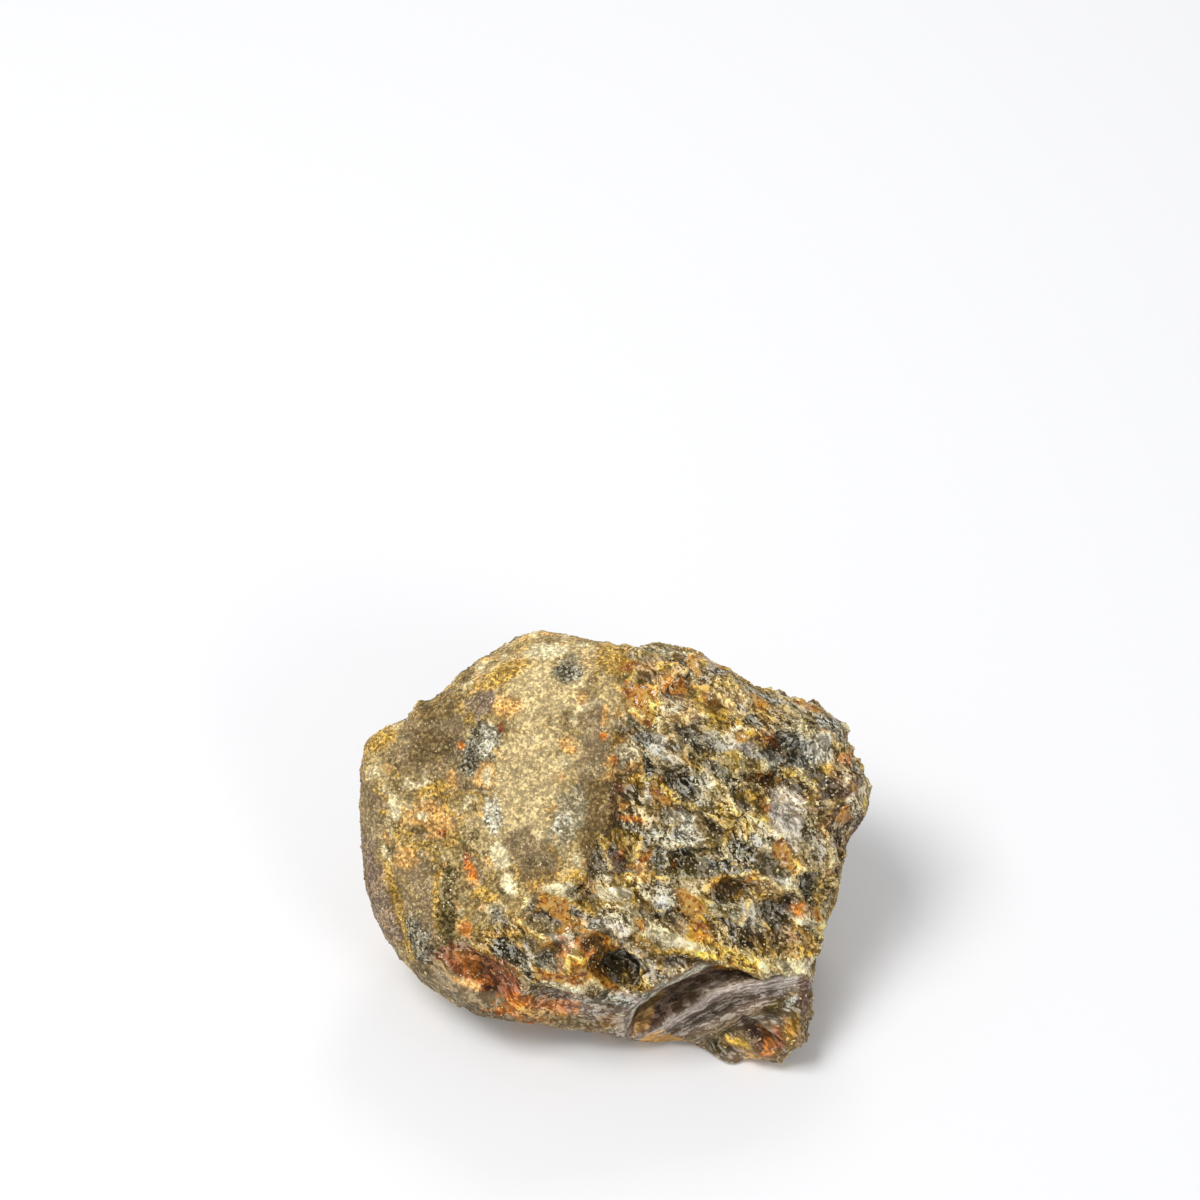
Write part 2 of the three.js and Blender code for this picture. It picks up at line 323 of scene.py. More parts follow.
def chips(points, size, stretch, turn, seed):
    """Chips in the resin. For each point: how far it is from the middle of its chip, how high the chip's
    slanted face stands there, and the chip's number from 0 to 1."""
    along = np.array(ACROSS) * math.cos(turn) + np.array(UP_FACE) * math.sin(turn)
    shift = np.array([seed * 3.7, seed * 1.9, seed * -2.3])
    drawn_in = (points - np.outer(points @ along, along) * (1 - 1 / stretch)) / size + shift
    bowl = np.empty(len(points))
    middle = np.empty((len(points), 3))
    for i, place in enumerate(drawn_in):
        distances, middles = noise.voronoi(Vector(place))
        bowl[i] = distances[0]
        middle[i] = middles[0]
    shuffle = np.array([[12.99, 39.35, 73.16], [78.23, 11.14, 52.24], [37.72, 83.16, 9.15]])
    mixed = np.sin(middle @ shuffle) * 43758.5
    mixed -= np.floor(mixed)
    slant = np.einsum("ij,ij->i", drawn_in - middle, 2 * mixed - 1)
    return bowl, slant, mixed[:, 0]


sway = noise_over(points, 3.0, 14)
warped = points + np.stack([wander, ripple, sway], 1) * np.array([0.8, 0.35, 0.8])
CHIP_TURN = math.radians(-38)
broad, broad_slant, broad_chip = chips(warped, 5.0, 1.6, CHIP_TURN, 5)
middling, middling_slant, middling_chip = chips(warped, 2.1, 1.9, CHIP_TURN, 6)
fine, fine_slant, fine_chip = chips(points, 1.0, 1.8, CHIP_TURN, 7)


def terraces(points, spacing, turn, wobble):
    """Broken steps that run along the chips: each rises slowly and falls sharply, from 0 to 1."""
    across_steps = np.array(UP_FACE) * math.cos(turn) - np.array(ACROSS) * math.sin(turn)
    climb = points @ across_steps / spacing + wobble
    share = climb - np.floor(climb)
    return np.where(share < 0.85, share / 0.85, (1 - share) / 0.15)


steps = terraces(points, 4.2, CHIP_TURN, 0.9 * noise_over(points, 6.5, 15) + 0.25 * ripple)
steps *= ease(-0.1, 0.3, noise_over(points, 5.0, 16))

toe_corner = oval_reach(across, up, (21.6, -19.0), 2.2, 3.4, 0) + 0.2 * wander
toe_knob = oval_reach(across, up, (16.2, -22.6), 5.0, 2.3, -8) + 0.15 * wander
toe_chips = np.maximum(ease(1.15, 0.85, toe_corner), ease(1.15, 0.85, toe_knob))
waxy = front_wall * ease(-9.5, -5.0, across + wander) * (1 - toe_chips)
waxy *= 0.6 + 0.4 * ease(-0.5, 2.5, across)
low_rim = ease(-12, -15, up) * ease(-4, -9, across)
boldness = (1 - 0.7 * low_rim) * (1 - 0.75 * ease(-24, -29, across)) * (1 - 0.88 * crust)
boldness *= 1 - 0.94 * waxy
boldness *= 1 - 0.6 * calm
boldness *= 1 - 0.5 * toe_chips * seen
raised = 1.3 * (broad**2 - 0.2) + 0.85 * broad_slant + 0.5 * steps - 0.2
raised += 0.6 * (middling**2 - 0.2) + 0.42 * middling_slant + 0.18 * (fine**2 - 0.2) + 0.14 * fine_slant
raised = raised * boldness - 0.25 * (1 - crust) * (1 - waxy)
lumps = noise_over(points, 2.4, 8)
pebbles = noise_over(points, 0.75, 9)
dents = np.abs(noise_over(points, 6.0, 17))
raised += crust * (1 - 0.7 * seen * ease(-15, -11, across)) * 0.9 * (0.25 - dents)
raised += crust * (0.26 * lumps + 0.12 * pebbles) + (1 - crust) * 0.08 * pebbles * (1 - 0.7 * waxy)
normals = normals_of(chunk_mesh)
points += normals * (raised * off_table)[:, None]
points[:, 2] = np.maximum(points[:, 2], 0)
move_points(chunk_mesh, points)

# How far each point stands proud of its neighbours, or lies below them. It tells where ridges are painted
# gold and lighter, as wear and painted highlight, and where hollows are painted darker, as painted shade.
edge_ends = np.empty(len(chunk_mesh.edges) * 2, np.int32)
chunk_mesh.edges.foreach_get("vertices", edge_ends)
edge_ends = edge_ends.reshape(-1, 2)
neighbour_count = np.bincount(edge_ends.ravel(), minlength=point_count)


def neighbour_mean(values):
    """Each point's mean of its neighbours' values."""
    values = values.reshape(point_count, -1)
    total = np.zeros_like(values)
    for one, other in (edge_ends.T, edge_ends.T[::-1]):
        np.add.at(total, one, values[other])
    return total / neighbour_count[:, None]


normals = normals_of(chunk_mesh)
smooth = points.copy()
for _ in range(10):
    smooth = neighbour_mean(smooth)
proud_near = np.einsum("ij,ij->i", points - smooth, normals)
for _ in range(50):
    smooth = neighbour_mean(smooth)
proud_far = np.einsum("ij,ij->i", points - smooth, normals)

# The shades of the resin and its crust. Each has a colour, how strong its grain is, how glossy it is, how
# much painted silver sheen its light streaks take, and whether it is clear enough to see into.
SHADES = {
    "sand": [(0.365, 0.268, 0.118), 0.60, 0.15, 0.0, 0],
    "pale sand": [(0.60, 0.48, 0.265), 0.50, 0.12, 0.0, 0],
    "cream": [(0.88, 0.78, 0.52), 0.6, 0.5, 0.3, 0],
    "gold": [(0.52, 0.335, 0.075), 0.8, 0.6, 0.0, 0],
    "yellow": [(0.62, 0.405, 0.070), 0.8, 0.7, 0.0, 0],
    "apricot": [(0.76, 0.43, 0.145), 0.7, 0.4, 0.1, 0],
    "orange": [(0.74, 0.235, 0.030), 0.6, 0.42, 0.0, 0],
    "rust": [(0.36, 0.085, 0.018), 0.7, 0.75, 0.1, 0],
    "honey": [(0.50, 0.22, 0.015), 0.7, 0.85, 0.0, 1],
    "bronze": [(0.26, 0.142, 0.014), 0.8, 0.7, 0.1, 0],
    "umber": [(0.185, 0.122, 0.045), 0.55, 0.25, 0.1, 0],
    "taupe": [(0.245, 0.178, 0.098), 0.42, 0.3, 0.1, 0],
    "olive": [(0.090, 0.062, 0.006), 0.8, 0.8, 0.3, 0],
    "moss": [(0.165, 0.122, 0.020), 0.8, 0.8, 0.4, 0],
    "ash": [(0.37, 0.330, 0.220), 0.7, 0.5, 0.6, 0],
    "slate": [(0.125, 0.120, 0.088), 1.0, 0.8, 0.9, 0],
    "frost": [(0.60, 0.60, 0.53), 0.9, 0.8, 1.0, 0],
    "lilac": [(0.86, 0.78, 0.71), 0.6, 0.6, 0.9, 0],
    "lavender": [(0.42, 0.340, 0.310), 0.5, 0.55, 0.5, 0],
    "plum": [(0.120, 0.055, 0.034), 0.8, 0.7, 0.12, 0],
    "mauve": [(0.200, 0.138, 0.104), 0.5, 0.55, 0.4, 0],
    "pitch": [(0.028, 0.018, 0.006), 0.6, 0.4, 0.0, 0],
}

# Patches of the display face: shade, place, half length, half width, and turn from across in degrees.
PATCHES = [
    # the sandy side
    ("pale sand", (-10, 8.5), 7.5, 3.6, 82), ("pale sand", (-8.5, 19), 4, 3.4, 0),
    ("taupe", (-2, 11), 6.5, 1.8, 86), ("umber", (-2.3, 3.5), 5, 1.6, 85),
    ("taupe", (-21.3, 13.2), 4.2, 3.6, 20), ("umber", (-21.6, 12.6), 2.4, 2.2, 20),
    ("umber", (-20, 17.2), 3, 1.3, 35), ("mauve", (-15, 17.8), 1.9, 1.1, 60),
    ("taupe", (-28.6, 3), 7, 1.2, 95), ("mauve", (-27.6, -6), 7, 2.4, 102),
    ("taupe", (-22.6, -5), 5.5, 2.2, 102), ("slate", (-22.6, -10), 3, 1.3, 110),
    ("gold", (-13, 21), 3.5, 0.9, 30), ("gold", (-27, 13.6), 1.8, 1, 30),
    ("cream", (-7.2, 23.9), 2.2, 0.9, 0), ("ash", (-4.9, 22.2), 1.6, 1.2, 0),
    ("slate", (-5.2, 21.4), 1.6, 0.9, 0), ("apricot", (-12.4, 17.4), 1.5, 1, 0),
    ("apricot", (-20.9, 4.2), 2.7, 1.9, -25), ("gold", (-21, 7.6), 2.6, 0.8, 20),
    ("rust", (-20, 2.6), 0.6, 0.4, 0), ("cream", (-22.4, 4.6), 0.7, 0.5, 0),
    ("cream", (-25.4, 5.6), 1.6, 0.6, 100), ("apricot", (-24.2, -0.2), 1.2, 1.2, 70),
    ("umber", (-22.6, 2.8), 0.8, 0.7, 0), ("cream", (-26.4, -0.6), 1.8, 0.35, 105),
    ("gold", (-25.6, -4.4), 4.6, 0.4, 104), ("gold", (-23.6, -11), 2.4, 0.3, 112),
    ("gold", (-20.4, -5.4), 3.2, 0.4, 92), ("slate", (-15.4, 12.6), 3.2, 1.8, 62),
    ("frost", (-14.8, 13.2), 2.2, 0.9, 68), ("orange", (-17.8, 12.8), 0.45, 0.4, 0),
    ("rust", (-13.2, 14.9), 0.7, 0.4, 70), ("apricot", (-14.7, 9.4), 1.7, 0.9, 100),
    ("cream", (-14.6, 9.2), 1.1, 0.6, 90), ("apricot", (-5, 12.3), 0.9, 0.7, 0),
    ("frost", (-14, 4.7), 1.9, 1.1, 95), ("taupe", (-10.3, 1.2), 2.2, 1.8, 0),
    ("ash", (-5.2, 4.2), 3.6, 1.7, 75), ("frost", (-5.8, 3.8), 1.3, 0.9, 60),
    ("cream", (-13.3, -0.2), 1.5, 0.9, 98), ("cream", (-12.2, -3.4), 1.2, 0.7, 120),
    ("rust", (-16.8, -1), 1, 0.5, 110), ("orange", (-16.3, -1.9), 1.2, 0.55, 115),
    ("slate", (-5.8, -3.4), 1.2, 0.8, 0), ("gold", (-15, -4.6), 1.6, 1, 0),
    ("olive", (-18.8, -4.6), 3.8, 0.8, 95), ("slate", (-13.2, -7.4), 1.5, 0.9, 100),
    ("apricot", (-0.9, 16.5), 1.2, 0.35, 82), ("orange", (-1, 14), 0.5, 0.4, 0),
    ("umber", (-8.4, -2.6), 2, 0.9, 0),
    # the crest, between crust and chips
    ("umber", (0.2, -1.6), 2.6, 2, 90), ("plum", (1, 6), 3.4, 1.2, 88), ("plum", (0.8, 0.8), 2.8, 1.5, 100),
    ("pitch", (0.9, 2.2), 2.2, 0.9, 100), ("umber", (-0.6, 8.6), 2.4, 0.9, 70),
    ("rust", (1, 0.2), 0.8, 0.5, 60), ("orange", (1.6, 5.9), 0.5, 0.4, 0),
    ("apricot", (1, 11.2), 2.6, 1.4, 60), ("cream", (1.6, 11.8), 1.7, 1.1, 30),
    ("orange", (0.4, 11.2), 0.6, 0.5, 0), ("rust", (1, 8), 0.8, 0.5, 90),
    ("orange", (2.6, 4.3), 1.5, 0.5, -12), ("gold", (5, 1), 1.6, 0.4, 25),
    ("honey", (3.6, -0.4), 1.8, 1, 40), ("pitch", (4.8, -0.8), 0.9, 0.5, 30),
    ("cream", (2, -3.2), 2.4, 0.9, 40), ("apricot", (3.2, -2.4), 1.7, 0.8, 60),
    ("gold", (-2.6, -4.6), 5.8, 2.1, -4), ("yellow", (-0.6, -4.4), 3.2, 1.4, 8),
    ("cream", (-5.4, -4.2), 2.4, 0.9, -10), ("cream", (-0.4, -4.4), 2.2, 0.8, 0),
    ("yellow", (-3, -5.6), 2, 0.4, 0), ("apricot", (-2.8, -3.8), 1, 0.8, 0),
    # the upper right
    ("gold", (0.2, 22.8), 2.2, 1.8, 0), ("apricot", (2.6, 18.4), 1.4, 0.6, -50),
    ("mauve", (4.4, 22.2), 1.6, 1.4, 0), ("apricot", (7, 20.8), 3.2, 2.5, 0),
    ("orange", (7.6, 20), 1.8, 1.1, 0), ("apricot", (4.6, 18.2), 2.2, 0.9, -30),
    ("yellow", (6.2, 22.2), 0.9, 0.5, 0), ("honey", (8.6, 19.8), 0.9, 0.6, 0),
    ("olive", (13, 20.6), 5, 1, -26), ("slate", (11, 21), 3, 1, -22), ("mauve", (7.6, 16.2), 4, 2.2, -20),
    ("cream", (6.2, 15.4), 1.7, 0.9, -20), ("frost", (6.8, 17.2), 1.4, 0.8, 20),
    ("lilac", (5.2, 13.4), 1.2, 0.7, 0), ("umber", (8.8, 14.4), 4, 1.4, -12),
    ("olive", (10.6, 12.6), 2.6, 1, -30), ("mauve", (14.8, 17.6), 2.3, 1.8, -30),
    ("slate", (16.6, 18.4), 1.8, 0.9, -30), ("frost", (3.7, 13.3), 0.9, 0.8, 0),
    ("gold", (12.3, 16.4), 3.8, 1.5, -60), ("yellow", (12.1, 16.8), 3.2, 0.9, -60),
    ("orange", (11.6, 18.2), 1.2, 0.6, -60), ("lilac", (15.4, 13.8), 2.6, 1.4, -58),
    ("frost", (15, 14.2), 1.5, 0.7, -58), ("bronze", (18.2, 14.6), 3.6, 2.6, -40),
    ("gold", (17.6, 16.6), 2.4, 0.8, -20), ("orange", (19, 13.3), 1.8, 0.55, -40),
    ("moss", (16.6, 15.6), 1.2, 0.8, -40), ("lilac", (4.2, 7.4), 1.4, 0.5, 95),
    ("frost", (7.2, 11), 2.4, 0.6, -25), ("gold", (9.4, 11), 1.7, 0.8, -40),
    ("slate", (7.9, 8.6), 1.5, 1.1, -10), ("yellow", (6.7, 7.4), 2.1, 0.42, -56),
    ("orange", (5.8, 8.8), 0.6, 0.4, -56), ("moss", (12, 9), 3.8, 2, -55),
    ("olive", (13.6, 6.4), 2.6, 1, -55), ("slate", (23, 15), 4.4, 3, -30),
    ("frost", (24.4, 12.2), 2.4, 1.5, 75), ("moss", (21.2, 17), 3.4, 1, -30),
    ("frost", (21, 14.2), 1.6, 0.6, 60), ("slate", (20, 10.8), 2.7, 1.4, -10),
    ("frost", (18.7, 11), 0.9, 0.8, 0), ("frost", (21.8, 10), 1, 0.5, 95), ("honey", (18, 9), 2.5, 0.6, -5),
    ("bronze", (24.2, 8.4), 2.4, 1.9, 30), ("gold", (24.2, 9.4), 1.6, 0.6, 30),
    ("olive", (23.6, 9.6), 1.2, 0.5, 30), ("rust", (27.2, 11.2), 1.2, 0.9, 0),
    ("plum", (27.6, 7.6), 3.4, 1.8, 100), ("lilac", (27.4, 8.8), 0.9, 0.5, 100),
    ("gold", (29.8, 7.5), 3.5, 0.35, 95),
    # the middle right
    ("mauve", (21.5, 6.2), 2.4, 0.9, 92), ("plum", (27, 4.6), 5, 2.6, 78),
    ("umber", (25.6, 4.6), 3.6, 1.6, 70), ("plum", (25, 6.4), 2, 0.8, 40),
    ("plum", (26.4, 3.4), 2.6, 1.8, 60), ("bronze", (17.6, 6.2), 1.9, 0.8, -15),
    ("yellow", (16.2, 6.8), 1, 0.5, -40), ("rust", (18.5, 5.4), 0.8, 0.6, 0),
    ("yellow", (17.3, 3.5), 2.2, 1.5, -15), ("cream", (18, 3), 1.4, 0.7, -15),
    ("lilac", (20.6, 3.8), 4.3, 1.9, 95), ("cream", (22.7, 1.3), 1, 0.9, 0), ("slate", (7, 2.6), 3, 2, -15),
    ("frost", (7.8, 4.7), 2.2, 0.5, -15), ("olive", (12.6, 3), 2.6, 1.6, -40),
    ("slate", (13.8, -0.6), 2.2, 1, 0), ("yellow", (10.6, 0.4), 0.6, 0.3, 0),
    ("orange", (7.4, -0.9), 0.4, 0.4, 0), ("slate", (25.2, -0.6), 2.2, 1.2, 80),
    ("slate", (6, -5), 1.9, 1.3, 80), ("frost", (5.8, -4.6), 1.2, 0.8, 80), ("ash", (9, -3.8), 1.8, 1.5, 0),
    ("honey", (13.6, -3.8), 2, 1, -10), ("orange", (16.3, -2.9), 0.9, 0.7, 40),
    ("yellow", (14.2, -5.2), 0.9, 0.25, 5), ("umber", (20, -1.6), 4, 1.9, -15),
    ("mauve", (18, -3.6), 2, 1.1, 0), ("frost", (21.6, -3.3), 2.2, 0.5, -12),
    ("plum", (19.8, -5.4), 2, 1, -10), ("orange", (22.2, -6.4), 1.2, 0.9, 0),
    ("apricot", (23.2, -6.8), 0.8, 1, 80), ("ash", (16.6, -7.4), 2.6, 1.5, 0),
    ("lilac", (16.4, -7), 1.2, 0.9, 0), ("plum", (20.6, -9.3), 1.8, 1, -20),
    ("gold", (24.4, -4.6), 3, 0.4, 78),
    # over the front wall
    ("cream", (4.6, -8.4), 3.2, 1.1, -32), ("cream", (9.2, -10.6), 2.6, 0.8, -8),
    ("honey", (10.6, -8.6), 1.8, 1.3, -20), ("orange", (10.2, -9.4), 1, 0.5, 0),
    ("apricot", (8, -8), 1, 0.6, 0), ("yellow", (9.4, -11.5), 2.9, 0.5, -4),
    ("yellow", (17.4, -12), 3, 0.8, -3), ("honey", (13.6, -13.4), 1.5, 0.6, 0),
    ("cream", (21.2, -13.2), 1.8, 0.9, -22), ("apricot", (-5, -8.2), 1.9, 0.8, 22),
    ("honey", (-5.8, -8.8), 1.3, 0.6, 22), ("slate", (-1.8, -8.4), 1.2, 0.9, 35),
    ("pitch", (-1.3, -10.4), 1.4, 0.9, 0), ("ash", (0.6, -13.4), 3.3, 2.9, 0),
    ("slate", (0.8, -13), 2.8, 2.4, 0), ("pitch", (-0.1, -13.5), 1.7, 1.5, 0),
    ("yellow", (1.2, -14.6), 0.6, 1.1, 0), ("orange", (-4.4, -12.2), 3.1, 3.1, 0),
    ("yellow", (-3.9, -11.6), 1.5, 0.9, 0), ("yellow", (-5.2, -13.4), 0.9, 0.8, 0),
    ("honey", (-3.4, -13.6), 1.2, 1.1, 0), ("gold", (-4.4, -10.9), 1.2, 0.3, 20),
    ("olive", (-7.6, -12.8), 1.4, 1.4, 0), ("cream", (-5.4, -15.4), 2.8, 0.5, -4),
    ("pitch", (-12, -11.6), 1.3, 0.9, -20), ("slate", (-13.2, -10.8), 1.2, 0.8, -20),
    ("olive", (-19.2, -9), 4, 1, 95), ("pitch", (-18.4, -11.4), 1.4, 0.7, 0),
    ("orange", (-17, -8.6), 0.9, 0.7, 100), ("slate", (-10, -11.5), 3.2, 0.8, 95),
    ("cream", (-10.2, -16.9), 0.7, 0.8, 0), ("slate", (4.4, -13.8), 2.4, 1, -42),
    # the front wall
    ("taupe", (-15.4, -15.8), 6.4, 3, -32), ("rust", (-14.8, -14.2), 5.2, 2, -36),
    ("plum", (-13.4, -15.8), 2.4, 1.1, -42), ("orange", (-15.4, -14.6), 2.2, 0.6, -30),
    ("rust", (-12.8, -15.8), 2.8, 1, -42), ("orange", (-17.2, -12.4), 1.5, 0.6, -30),
    ("taupe", (-19, -15.4), 5, 1.2, -32), ("taupe", (-13.6, -17.6), 4, 1, -22),
    ("apricot", (-17.2, -15), 1.8, 0.35, -28), ("mauve", (-7, -16.7), 3.6, 0.5, -4),
    ("orange", (-8.2, -18.2), 4.4, 1.2, -8), ("orange", (-4.6, -17.8), 1.8, 0.8, -12),
    ("apricot", (-7.6, -18.8), 3.4, 0.6, -8), ("rust", (-5, -17.9), 1, 0.5, 0),
    ("umber", (-4.4, -19.5), 5, 0.5, -8), ("slate", (1.8, -16.6), 3, 1.2, -14),
    ("lavender", (2.6, -17), 2, 0.5, -40), ("mauve", (-1.4, -18.6), 3.4, 1, -12),
    ("bronze", (5, -18.7), 2.4, 0.4, 40), ("apricot", (3.8, -20.2), 1.4, 0.4, 35),
    ("apricot", (6.4, -21.9), 2.8, 0.5, -2), ("apricot", (4.6, -21.2), 1.4, 0.4, 20),
    ("mauve", (13.4, -24.6), 1.8, 1.2, 0), ("plum", (13, -24), 1, 0.5, 0),
    ("lavender", (20.2, -15.2), 3.4, 1.3, 8), ("olive", (19.6, -17.4), 2, 0.8, 20),
    ("pitch", (18.4, -18.6), 1.2, 0.7, 20), ("slate", (21.2, -17.6), 1.5, 0.8, 60),
    ("umber", (16.8, -22.6), 6.2, 2.8, -8), ("mauve", (16.8, -23.6), 4.6, 1.7, -8),
    ("bronze", (20.8, -20.8), 1.4, 2.6, -20), ("orange", (17.6, -21.4), 1.6, 0.7, -50),
    ("rust", (19.2, -21), 1, 0.5, -70), ("honey", (20.6, -20.2), 0.6, 0.9, -20),
    ("mauve", (17.8, -23.4), 2.8, 0.9, -4), ("apricot", (17.4, -23.4), 2.8, 0.8, -14),
    ("mauve", (16.4, -24.8), 2, 0.6, 0), ("olive", (12.2, -22.4), 1.4, 0.6, -15),
    ("bronze", (14.2, -21.9), 1.9, 0.5, -8), ("yellow", (14.4, -21.4), 1.5, 0.25, -10),
    ("plum", (16, -20.6), 1.8, 0.6, -42), ("plum", (22.6, -15.8), 2.6, 0.7, 88),
]

colour = np.empty((point_count, 3))
grain = np.empty(point_count)
gloss = np.empty(point_count)
painted_sheen = np.empty(point_count)
clear = np.zeros(point_count)


def paint(shade, amount):
    """Lays a shade over what is there, as strongly as amount says."""
    shade_colour, shade_grain, shade_gloss, shade_painted_sheen, shade_clear = SHADES[shade]
    colour[:] += (np.array(shade_colour) - colour) * amount[:, None]
    grain[:] += (shade_grain - grain) * amount
    gloss[:] += (shade_gloss - gloss) * amount
    painted_sheen[:] += (shade_painted_sheen - painted_sheen) * amount
    clear[:] += (shade_clear - clear) * amount


everywhere = np.ones(point_count)
paint("moss", everywhere)
CHIP_SHADES = "olive slate moss moss umber bronze slate moss mauve bronze honey".split()
MIDDLING_SHADES = "olive moss ash bronze gold pitch honey slate frost umber yellow".split()
for shade_number, shade in enumerate(CHIP_SHADES):
    chosen = np.floor(broad_chip * len(CHIP_SHADES)) == shade_number
    if shade == "honey":
        chosen = chosen * (seen < 0.5)
    paint(shade, 0.8 * chosen)
bare = 1 - np.maximum(crust, waxy)

dome = seen * ease(-16, -12, across) * ease(-2, 3, up)
mottle = noise_over(points, 3.6, 10)
blotches = noise_over(points, 1.5, 11)
flow = noise_over(points, 2.4, 12)
paint("sand", crust * 0.93)
paint("pale sand", crust * ease(0.0, 0.45, mottle + 0.3 * dome) * 0.6)
paint("umber", crust * ease(0.10, 0.30, flow - 0.25 * dome) * 0.75)
paint("taupe", crust * ease(-0.12, -0.24, mottle + 0.4 * dome) * 0.85)
paint("cream", crust * ease(0.22, 0.36, blotches) * ease(-0.3, 0.1, mottle) * 0.6)
paint("apricot", crust * ease(0.26, 0.40, noise_over(points, 1.9, 18)) * 0.7)
paint("gold", crust * ease(0.07, 0.02, np.abs(mottle + 0.18 + 0.15 * blotches)) * (1 - dome) * 0.8)
paint("olive", crust * ease(-0.30, -0.42, blotches + 0.3 * dome) * 0.6)
paint("mauve", waxy * 0.92)
in_flutes = waxy * (between_ridges >= 0) * ease(1.0, 2.6, across)
flute_lines = noise_over(np.stack([between_ridges * 5.0, across * 0.12, 0 * across], 1), 1.0, 19)
# The flutes: pale ash, frost and lavender under each ridge, dark plum and pitch in the first trough, partly
# the resin's own colours and partly painted highlight on the ridges and painted shade in the trough.
first_trough = in_flutes * ease(0.30, 0.55, between_ridges) * ease(1.0, 0.93, between_ridges)
paint("ash", in_flutes * ease(0.44, 0.28, between_ridges) * 0.85)
paint("frost", in_flutes * ease(0.36, 0.16, between_ridges) * 0.4)
paint("lavender", in_flutes * ease(1.0, 1.04, between_ridges) * ease(1.75, 1.3, between_ridges) * 0.8)
paint("umber", in_flutes * ease(1.9, 2.1, between_ridges) * 0.6)
paint("plum", first_trough * 0.9)
paint("pitch", first_trough * ease(5.0, 8.0, across) * ease(0.50, 0.75, between_ridges) * 0.6)
paint("lilac", in_flutes * ease(0.14, 0.36, flute_lines) * (1 - 0.8 * first_trough) * 0.34)
paint("plum", in_flutes * ease(-0.10, -0.36, flute_lines) * 0.45)
paint("umber", toe_chips * seen * 0.7)
paint("plum", toe_chips * seen * 0.35)
shown = ease(-0.25, 0.0, facing)
edge_jitter = 0.5 * (middling_chip - 0.5) + 0.4 * (fine_chip - 0.5)
wander_fine = noise_over(points, 0.6, 13)
for shade, place, half_length, half_width, turn in PATCHES:
    small = 0.5 + 0.5 * min(1.0, half_width)
    reach = oval_reach(across, up, place, half_length * 1.1, half_width * 1.1, turn)
    reach += (0.2 * wander + 0.26 * ripple + 0.36 * wander_fine + edge_jitter * bare) * small
    paint(shade, ease(1.10, 0.80, reach) * shown * 0.92)
quiet = ease(1.2, 0.8, oval_reach(across, up, (-16.5, -16.0), 9.0, 3.0, -28) + 0.15 * wander) * shown
quiet = np.maximum(quiet, toe_chips * shown)
for shade_number, shade in enumerate(MIDDLING_SHADES):
    chosen = (np.floor(middling_chip * len(MIDDLING_SHADES)) == shade_number) * (1 - waxy) * (1 - crust)
    paint(shade, (0.9 if shade == "honey" else 0.34) * chosen * (1 - quiet))
colour *= ((0.68 + 0.62 * middling_chip) * (0.78 + 0.44 * fine_chip))[:, None] ** bare[:, None]
glassy = ease(0.1, -0.3, noise_over(points, 2.6, 34) + 0.5 * (middling_chip - 0.5))
grain *= 1 + (0.2 - 0.6 * glassy) * bare
polished = np.maximum(waxy, toe_chips * seen)
grain *= 1 - 0.4 * polished

# Wear and painted light and shade: ridges take gold, cream and a painted highlight, hollows a painted shade.
painted_relief_shade = np.clip(proud_near / 0.22, -1.5, 1.2) + np.clip(proud_far / 0.7, -1.2, 0.2)
# painted highlight and wear are weaker on faces that turn down, and in the quiet places
highlight_and_wear_share = (1 - 0.85 * quiet) * (1 - 0.8 * seen * ease(0.35, -0.15, normals[:, 2]))
painted_relief_shade = np.where(painted_relief_shade > 0, painted_relief_shade * highlight_and_wear_share, painted_relief_shade * 1.25)
# ridges: gold and cream, partly wear and partly painted highlight
wear_and_ridge_highlight = ease(0.10, 0.34, proud_near + 0.04 * ripple) * (1 - waxy) * highlight_and_wear_share
# hollows: dark pitch laid in as painted shade
painted_hollow_shade = ease(-0.05, -0.45, proud_far) * (1 - 0.6 * crust)
paint("gold", wear_and_ridge_highlight * 0.35)
paint("cream", wear_and_ridge_highlight * ease(0.26, 0.5, proud_near) * 0.4)
paint("pitch", painted_hollow_shade * 0.5)
# painted shading: the colour is made lighter on ridges and darker in hollows
colour *= np.exp(0.38 * painted_relief_shade * (1 - 0.75 * crust) * (1 - 0.6 * waxy))[:, None]
colour *= (1 - 0.12 * seen * ease(3, 7, across) * ease(3, 8, up))[:, None]
clear *= 1 - np.maximum(wear_and_ridge_highlight, 0.5 * crust)
clear[points[:, 2] < 1.2] = 0

# The grain of the chipped resin runs in wavy streaks: down and to the right on the chips, along the ridges
# in the flutes. Each point keeps its place in a space where the streaks are straight and drawn in.
STREAK_TURN = math.radians(-52)
streak_way = np.array(ACROSS) * math.cos(STREAK_TURN) + np.array(UP_FACE) * math.sin(STREAK_TURN)
beside_streak = np.array(UP_FACE) * math.cos(STREAK_TURN) - np.array(ACROSS) * math.sin(STREAK_TURN)
swirled = points + 1.5 * np.stack([noise_over(points, 5.0, seed) for seed in (31, 32, 33)], 1)
swirled += 0.35 * np.stack([ripple, wander_fine, blotches], 1)
swirled_out = swirled @ np.array(OUT_OF_FACE)
streak_place = np.stack([swirled @ streak_way * 0.42, swirled @ beside_streak, swirled_out], 1)
on_flute = (between_ridges >= 0) & (across > 1.6)
wall_rise = np.where(on_flute, -6.0 * between_ridges, 1.2 * up)
wall_place = np.stack([across * np.where(on_flute, 0.22, 0.6), wall_rise, 0.3 * out], 1)
streak_place += (wall_place - streak_place) * (waxy > 0.45)[:, None]
drawn_out = 0.95 * ease(0.42, 0.58, bare + waxy)


STORED_AS = {1: ("FLOAT", "value"), 3: ("FLOAT_VECTOR", "vector"), 4: ("FLOAT_COLOR", "color")}


